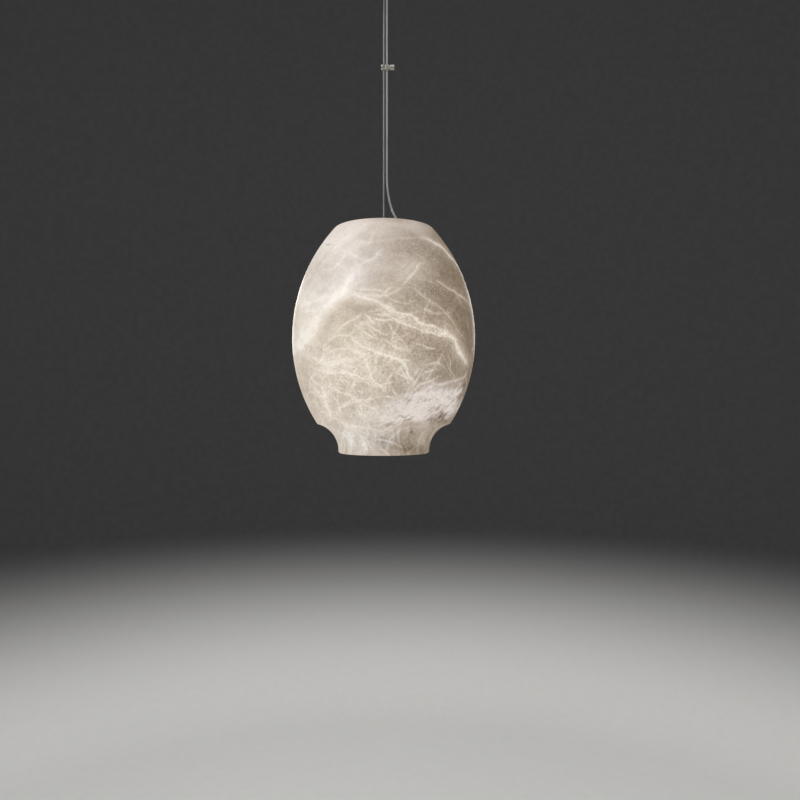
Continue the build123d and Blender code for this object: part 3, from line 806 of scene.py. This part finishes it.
def smooth_line(points, steps):
    """Points along a smooth curve through the given ones."""
    spots = np.array(points, float)
    ends = np.vstack((2 * spots[0] - spots[1], spots, 2 * spots[-1] - spots[-2]))
    share = np.linspace(0, 1, steps, endpoint=False)[:, None]
    found = []
    for a, b, c, d in zip(ends, ends[1:], ends[2:], ends[3:]):
        bend = 2 * a - 5 * b + 4 * c - d + share * (3 * (b - c) + d - a)
        found.append(b + 0.5 * share * (c - a + share * bend))
    return np.vstack((*found, spots[-1:]))


def strayed(canvas, line, reach):
    """The line moved sideways by a smooth random amount of up to about reach."""
    radius = canvas.radius_at(line[:, 1])
    across = radius * np.gradient(line[:, 0])
    along = np.gradient(line[:, 1])
    size = np.hypot(across, along) + tiny
    distance = np.cumsum(size)
    offset = np.zeros(len(line))
    for rank, wave in enumerate(stray_waves):
        start = dice.uniform(0, math.tau)
        offset += np.sin(math.tau * distance / wave + start) / (rank + stray_falloff)
    offset *= reach
    return line + np.column_stack((-along * offset / (size * radius), across * offset / size))


def faded(count, ends):
    """Strengths along a line that fade at its ends and flicker between them."""
    share = np.linspace(0, 1, count)
    fade = np.clip(np.minimum(share, 1 - share) / ends, 0, 1)
    flicker = np.sin(share * dice.uniform(*flicker_turns) + dice.uniform(0, flicker_start))
    flicker *= np.sin(share * flicker_beat + dice.uniform(0, flicker_start))
    return (end_strength + (1 - end_strength) * fade) * (1 - flicker_depth + flicker_depth * flicker)


def eased(value, low, high):
    share = np.clip((value - low) / (high - low), 0, 1)
    return share**2 * (3 - 2 * share)


def waves(places, size, count=10):
    """Smooth random field, mostly from -1 to 1, with bumps of about a size in the places' own units."""
    total = np.zeros(places.shape[:-1])
    for _ in range(count):
        way = dice.normal(size=places.shape[-1])
        way *= math.tau / (size * dice.uniform(*wave_spread) * np.linalg.norm(way))
        total += np.cos(places @ way + dice.uniform(0, math.tau))
    return total / math.sqrt(count)


def picture_places(places):
    """Picture pixels of stone points; the far side takes those of the near side, moved a little."""
    far = np.clip(places[..., 1] / stone_radius, 0, 1)
    depth = -np.abs(places[..., 1]) - camera_place[1]
    across = picture_side / 2 + focal_length * (places[..., 0] - camera_place[0]) / depth
    down = picture_side / 2 - focal_length * (places[..., 2] - camera_place[2]) / depth
    across += place_stray[0] * waves(places, place_size, place_waves) + far_shift[0] * far
    down += place_stray[1] * waves(places, place_size, place_waves) + far_shift[1] * far
    return across, down


def patched(across, down, patches):
    total = np.zeros(across.shape)
    for x, y, half_width, half_height, amount in patches:
        total += amount * np.exp(-(((across - x) / half_width) ** 2) - ((down - y) / half_height) ** 2)
    return total


def streaked(canvas):
    """Smooth random field on the stone, drawn out along a slant, with its seam at the back."""
    turns = (np.arange(stone_columns) * canvas.turn_step + math.pi) % math.tau - math.pi
    across, down = np.meshgrid(turns * stone_radius, canvas.lengths)
    along = across * math.cos(streak_slope) + down * math.sin(streak_slope)
    beside = down * math.cos(streak_slope) - across * math.sin(streak_slope)
    places = np.stack((along / streak_length, beside), axis=-1)
    return sum(share * waves(places, size, count) for share, size, count in streak_waves)


def plain_tone(across, down, places, hidden):
    """Tone of the stone before its veins and clouds, with painted shade to the right and painted light on the
    low rows.
    """
    # Stone tone with painted shade, darker to the right
    tone = left_tone_and_light + (right_tone_and_shade - left_tone_and_light) * eased(across, *tone_and_shade_columns)
    # Painted light on the low rows
    tone += low_painted_light * eased(down, *painted_light_rows)
    upright = np.stack((across, down / neck_stretch), axis=-1)
    tone += neck_depth * eased(down, *neck_rows) * waves(upright, neck_size, neck_waves)
    tone += (1 - far_even * hidden) * patched(across, down, tone_patches)
    for size in tone_sizes:
        tone += tone_depth * waves(places, size)
    # The far side is lifted on the right, so that the darker right, with its painted shade, does not carry
    # round to the back
    tone += far_lift * hidden * eased(places[..., 0], *right_reach)
    return np.maximum(tone, least_tone)


def lay_cracks(canvas, pits):
    for pixels in cracks:
        line = smooth_line([canvas.under(pixel) for pixel in pixels], shown_steps)
        line = strayed(canvas, line, crack_width)
        canvas.lay(pits, line, crack_width, crack_strength * faded(len(line), crack_fade))


def lay_vein(canvas, veins, glow, line, vein):
    """A vein of several strands that part and meet, with a soft glow around it."""
    line = strayed(canvas, line, vein.width * line_stray)
    shine = vein.strength * min(1, vein.width / full_glow_width)
    canvas.lay(glow, line, vein.width * glow_spread + glow_reach, faded(len(line), line_fade) * shine)
    canvas.lay(veins, line, vein.width * line_width, faded(len(line), line_fade) * vein.strength)
    for _ in range(vein.strands - 1):
        strand = strayed(canvas, line, vein.stray * dice.uniform(*strand_strays))
        strength = faded(len(line), strand_fade) * vein.strength * dice.uniform(*strand_strengths)
        width = min(vein.width * strand_width, widest_strand) * dice.uniform(*strand_widths)
        canvas.lay(veins, strand, width, strength)


def lay_fine_veins(canvas, veins, density):
    """Short random veins, denser where the stone is webbed."""
    for _ in range(fine_count):
        row = dice.integers(0, len(canvas.radii))
        column = dice.integers(0, stone_columns)
        if density[row, column] * canvas.radii[row] / stone_radius < dice.uniform(0, 1):
            continue
        count = dice.integers(*fine_points)
        heading = dice.choice((-1, 1)) * dice.normal(fine_slope, fine_slope_spread)
        heading = heading + np.cumsum(dice.normal(0, fine_bend, count))
        steps = fine_step * np.column_stack((np.cos(heading) / canvas.radii[row], np.sin(heading)))
        start = (column * canvas.turn_step, canvas.lengths[row])
        line = smooth_line(start + np.cumsum(steps, axis=0), fine_steps)
        strength = dice.uniform(*fine_strengths) * eased(density[row, column], *fine_densities)
        strength = strength * faded(len(line), fine_fade)
        canvas.lay(veins, line, fine_width * dice.uniform(*fine_widths), strength)


def lay_all_veins(canvas, web, far_density):
    """Fields of the veins and of the glow around the large ones."""
    veins = canvas.blank()
    glow = canvas.blank()
    for vein in shown_veins.values():
        spots = [canvas.under(pixel) for pixel in vein.points]
        lay_vein(canvas, veins, glow, smooth_line(spots, shown_steps), vein)
    for vein in far_veins.values():
        turns, drops = np.array(vein.points).T
        spots = np.column_stack((np.radians(turns), canvas.at_height(stone_top - drops, canvas.lengths)))
        lay_vein(canvas, veins, glow, smooth_line(spots, far_steps), vein)
    fine = canvas.blank()
    lay_fine_veins(canvas, fine, web)
    lay_fine_veins(canvas, fine, far_density)
    return 1 - (1 - veins) * (1 - fine), glow


def painted_stone(canvas, places):
    """Fields that colour the outside of the stone, by name."""
    across, down = picture_places(places)
    back = places[..., 1]
    front = 1 - eased(back, *front_reach)
    near = 1 - eased(back, *near_reach)
    hidden = eased(back, *hidden_reach)
    tone = plain_tone(across, down, places, hidden)
    rosy = rosy_base + patched(across, down, rosy_patches) + rosy_depth * waves(places, rosy_size)
    web_wave = waves(places, web_size)
    web = np.clip(patched(across, down, web_patches) + web_base + web_depth * web_wave, 0, 1)
    far_density = far_web * hidden * eased(web_wave, *far_web_waves)
    streaks = streaked(canvas) * eased(down, *streak_rows)
    cloud = near * patched(across, down, cloud_patches) * (cloud_base + cloud_streaks * streaks)
    cloud = np.clip(cloud, 0, 1)
    pits = front * patched(across, down, pit_patches) * (pit_base - pit_streaks * streaks)
    pits = np.clip(pits, 0, 1)
    lay_cracks(canvas, pits)
    mottle = np.clip(patched(across, down, mottle_patches) + mottle_base, 0, 1)
    veins, glow = lay_all_veins(canvas, web, far_density)
    tone += glow_share * glow * (1 - tone)
    tone += cloud_share * cloud * (1 - tone)
    tone += vein_share * veins * (vein_tone - tone)
    return {"tone": tone, "rosy": rosy, "mottle": mottle, "cloud": cloud, "pits": pits}


def stone_map(mesh, row_count, outside_rows):
    """Lays the grid out flat as one map, with most of its height for the outside."""
    high = np.linspace(0, outside_share, outside_rows)
    rest = np.linspace(outside_share, 1, row_count - outside_rows + 2)[1:]
    high = np.concatenate((high, rest))
    row, column = np.mgrid[:row_count, :stone_columns]
    left = column / stone_columns
    right = (column + 1) / stone_columns
    upper = high[row]
    lower = high[row + 1]
    corners = np.stack((left, upper, left, lower, right, lower, right, upper), axis=-1)
    layer = mesh.uv_layers.new(name="OFBake", do_init=False)
    layer.uv.foreach_set("vector", corners.astype(np.float32).ravel())


def make_shade(finishes):
    rows, outside_rows = stone_section()
    canvas = Canvas(rows[:outside_rows])
    rings = turned_rings(rows, stone_columns)
    fields = painted_stone(canvas, rings[:outside_rows])
    rings[:outside_rows, :, :2] *= (1 - pit_depth * fields["pits"] / stone_radius)[..., None]
    shade = ring_object("stone_shade", rings, "joined")
    beside = canvas.at_height(rows[outside_rows:, 1], np.arange(outside_rows)).astype(int)
    fields["inside"] = canvas.blank()
    for name, field in fields.items():
        inner = field[beside] if name != "inside" else np.ones((len(beside), stone_columns))
        attribute = shade.data.attributes.new(name, "FLOAT", "POINT")
        attribute.data.foreach_set("value", np.vstack((field, inner)).astype(np.float32).ravel())
    stone_map(shade.data, len(rows), outside_rows)
    shade.data.materials.append(finishes["stone"])
    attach(shade, "pendant")
    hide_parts("alabaster_shade")


# Finishes


def stone_finish():
    """Colours the painted tone, broken up by a fine mottle that is strongest where the stone is webbed."""
    finish = Finish("veined_stone", Specular_IOR_Level=0.3)
    grain = finish.noise(grain_size, detail=3.0, roughness=0.6)
    blotch = finish.noise(blotch_size, detail=4.0, roughness=0.62, distortion=0.6)
    ridge_place = finish.noise(ridge_size, detail=3.0, roughness=0.55, distortion=1.2)
    ridge = finish.maths("ABSOLUTE", finish.maths("SUBTRACT", ridge_place, 0.5))
    ridge_tone = finish.spread(ridge, 0.0, ridge_width, ridge_top, ridge_foot)
    grain_tone = finish.spread(grain, *main_part, -grain_depth, grain_depth)
    mottle = finish.maths("ADD", ridge_tone, grain_tone)
    mottle = finish.maths("MULTIPLY", mottle, finish.attribute("mottle"))
    mottle = finish.maths("ADD", mottle, finish.spread(blotch, *main_part, -blotch_depth, blotch_depth))
    tone = finish.maths("ADD", finish.attribute("tone"), mottle)
    creamy = finish.ramp(tone, creamy_tones)
    rosy = finish.ramp(tone, rosy_tones)
    colour = finish.mix(finish.attribute("rosy"), creamy, rosy)
    cover = finish.maths("MULTIPLY", finish.attribute("cloud"), cloud_cover)
    colour = finish.mix(cover, colour, cloud_colour)
    colour = finish.mix(finish.attribute("pits"), colour, pit_colour)
    # Painted glow: the stone gives off most of its colour as light, standing in for the lamp inside shining
    # through it, more so on the inside
    glow = finish.spread(finish.attribute("inside"), 0.0, 1.0, stone_glow, inside_glow)
    finish.set(Base_Color=finish.dimmed(colour, stone_lit), Emission_Color=colour, Emission_Strength=glow)
    finish.set(Roughness=finish.spread(blotch, *most_part, *stone_roughness))
    finish.bump(grain, distance=0.00012, strength=0.5)
    return finish.material


def shaded(colour, share):
    return (*[min(1.0, value * share) for value in colour[:3]], 1.0)


def metal_finish(name, colour, grain_scale, roughness):
    """Metal with fine drawn or turned lines, given as scale along each axis."""
    finish = Finish(name, Metallic=1.0)
    stretched = finish.add("ShaderNodeMapping", {"Vector": finish.place, "Scale": grain_scale})
    lines = finish.noise(1.0, detail=3.0, roughness=0.6, vector=stretched)
    patch = finish.spread(finish.noise(metal_patch, detail=3.0), *middle_part)
    finish.set(Base_Color=finish.mix(patch, shaded(colour, metal_dark), shaded(colour, metal_light)))
    roughnesses = (roughness - metal_smoother, roughness + metal_rougher)
    finish.set(Roughness=finish.spread(lines, *main_part, *roughnesses))
    finish.bump(lines, distance=0.00002, strength=0.5)
    return finish.material


def zinc_finish():
    """Zinc plate with its crystal pattern."""
    finish = Finish("zinc_plate", Metallic=1.0)
    crystals = {"Vector": finish.place, "Scale": 1 / zinc_crystal}
    crystal = finish.add("ShaderNodeTexVoronoi", crystals, "Color")
    finish.set(Base_Color=finish.mix(crystal, zinc_dark, zinc_light))
    finish.set(Roughness=finish.spread(finish.noise(zinc_bloom), *middle_part, *zinc_roughness))
    finish.bump(finish.noise(zinc_grain, detail=3.0), distance=0.00002, strength=0.4)
    return finish.material


def plain_finish(name, dark, light, grain, roughness, depth, specular=0.4):
    """Moulded, woven or painted surface with a fine grain of a size in metres."""
    finish = Finish(name, Specular_IOR_Level=specular)
    speckle = finish.noise(grain, detail=4.0, roughness=0.6)
    fine_share = finish.maths("MULTIPLY", speckle, speckle_share)
    broad_share = finish.maths("MULTIPLY", finish.noise(grain * broad_grain), 1 - speckle_share)
    share = finish.spread(finish.maths("ADD", fine_share, broad_share), *middle_part)
    finish.set(Base_Color=finish.mix(share, dark, light))
    roughnesses = (roughness - plain_scatter, roughness + plain_scatter)
    finish.set(Roughness=finish.spread(speckle, *middle_part, *roughnesses))
    finish.bump(speckle, distance=depth, strength=0.6)
    return finish.material


def lit_finish(name, dark, light, grain, strength, roughness):
    """Surface that gives its own light."""
    finish = Finish(name, Specular_IOR_Level=0.4, Roughness=roughness)
    speckle = finish.noise(grain, detail=3.0, roughness=0.6)
    colour = finish.mix(finish.spread(speckle, *middle_part), dark, light)
    finish.set(Base_Color=finish.dimmed(colour, lamp_lit), Emission_Color=colour, Emission_Strength=strength)
    finish.bump(speckle, distance=0.00003, strength=0.4)
    return finish.material


def make_finishes():
    """One finish for each material slot of the record."""
    return {
        "stone": stone_finish(),
        "steel": metal_finish("brushed_steel", tint(190, 190, 190), turned_lines, roughness=0.36),
        "zinc_steel": zinc_finish(),
        "canopy_metal": metal_finish("satin_canopy", tint(186, 183, 178), turned_lines, roughness=0.42),
        "cable_steel": metal_finish("strand_steel", tint(118, 118, 117), drawn_lines, roughness=0.4),
        "cord_plastic": plain_finish(
            "cord_sheath", tint(126, 125, 122), tint(148, 147, 144),
            grain=0.0007, roughness=0.42, depth=0.00002),
        "nickel": metal_finish("satin_nickel", tint(206, 203, 196), turned_lines, roughness=0.3),
        "aluminium": metal_finish("satin_aluminium", tint(214, 214, 213), turned_lines, roughness=0.36),
        "white_plastic": plain_finish(
            "white_moulding", tint(222, 221, 216), tint(234, 233, 229),
            grain=0.0008, roughness=0.45, depth=0.00002),
        "black_rubber": plain_finish(
            "black_rubber", tint(26, 26, 27), tint(46, 46, 47),
            grain=0.0006, roughness=0.7, depth=0.00003, specular=0.25),
        "felt": plain_finish(
            "pressed_felt", tint(94, 92, 90), tint(128, 126, 122),
            grain=0.0004, roughness=0.92, depth=0.00012, specular=0.1),
        "board": plain_finish(
            "lamp_board", tint(226, 226, 221), tint(240, 240, 236),
            grain=0.0012, roughness=0.35, depth=0.00001),
        "led": lit_finish(
            "led_phosphor", tint(250, 214, 128), tint(255, 236, 176),
            grain=0.0005, strength=0.7, roughness=0.35),
        "components": plain_finish(
            "dark_moulding", tint(28, 28, 32), tint(48, 48, 52),
            grain=0.0006, roughness=0.4, depth=0.00002),
        "frosted_glass": lit_finish(
            "frosted_glass", tint(240, 232, 214), tint(250, 244, 230),
            grain=0.0009, strength=0.6, roughness=0.55),
    }


def dress_nodes(finishes):
    for part in frame["record"]["subparts"]:
        for place in frame["nodes"][part["node"]].material_slots:
            place.material = finishes[part["material_slot"]]


# Studio


def stage_finish():
    """Paper that is pale on the floor and dark on the wall."""
    finish = Finish("studio_paper", Roughness=0.9, Specular_IOR_Level=0.1)
    height = finish.add("ShaderNodeSeparateXYZ", {0: finish.place}, "Z")
    rise = finish.spread(height, floor_height, floor_height + backdrop_curve)
    speckle = finish.spread(finish.noise(paper_grain, detail=4.0), *middle_part, 0.0, paper_speckle)
    colour = finish.mix(speckle, finish.mix(rise, floor_colour, wall_colour), speckle_colour)
    seen = finish.add("ShaderNodeLightPath", {}, "Is Camera Ray")
    for ray in ("Is Glossy Ray", "Is Transmission Ray"):
        seen = finish.maths("MAXIMUM", seen, finish.add("ShaderNodeLightPath", {}, ray))
    glow = finish.maths("MULTIPLY", seen, paper_glow)
    finish.set(Base_Color=colour, Emission_Color=colour, Emission_Strength=glow)
    return finish.material


def make_stage():
    """Round floor that curves up into a wall on all sides."""
    wall_radius = floor_radius + backdrop_curve
    wall_foot = floor_height + backdrop_curve
    runs = [
        line_run((floor_hole, floor_height), (floor_radius, floor_height), stage_step),
        arc_run((floor_radius, wall_foot), backdrop_curve, -math.pi / 2, 0, curve_step),
        line_run((wall_radius, wall_foot), (wall_radius, backdrop_top), stage_step),
    ]
    rings = turned_rings(join_runs(runs, (0, 0)), stage_columns)
    sweep = ring_object("studio_sweep", rings, "open")
    sweep.data.materials.append(stage_finish())


def make_air():
    world = bpy.data.worlds.new("studio_air")
    world.use_nodes = True
    air = world.node_tree.nodes["Background"]
    air.inputs["Color"].default_value = air_colour
    air.inputs["Strength"].default_value = air_strength
    scene.world = world


def make_lamps():
    """Soft lamps that face the shade's middle."""
    middle = Vector((0, 0, (stone_top + stone_bottom) / 2))
    for name, (place, side, watts, spread) in lamps.items():
        data = bpy.data.lights.new(name, "AREA")
        data.size = side
        data.energy = watts
        data.spread = math.radians(spread)
        lamp = add_object(name, data)
        lamp.location = place
        lamp.rotation_euler = (middle - lamp.location).to_track_quat("-Z", "Y").to_euler()
        lamp.visible_camera = False


make_camera()
all_finishes = make_finishes()
make_cable(all_finishes)
make_cord(all_finishes)
make_lead(all_finishes)
make_shade(all_finishes)
dress_nodes(all_finishes)
make_stage()
make_air()
make_lamps()
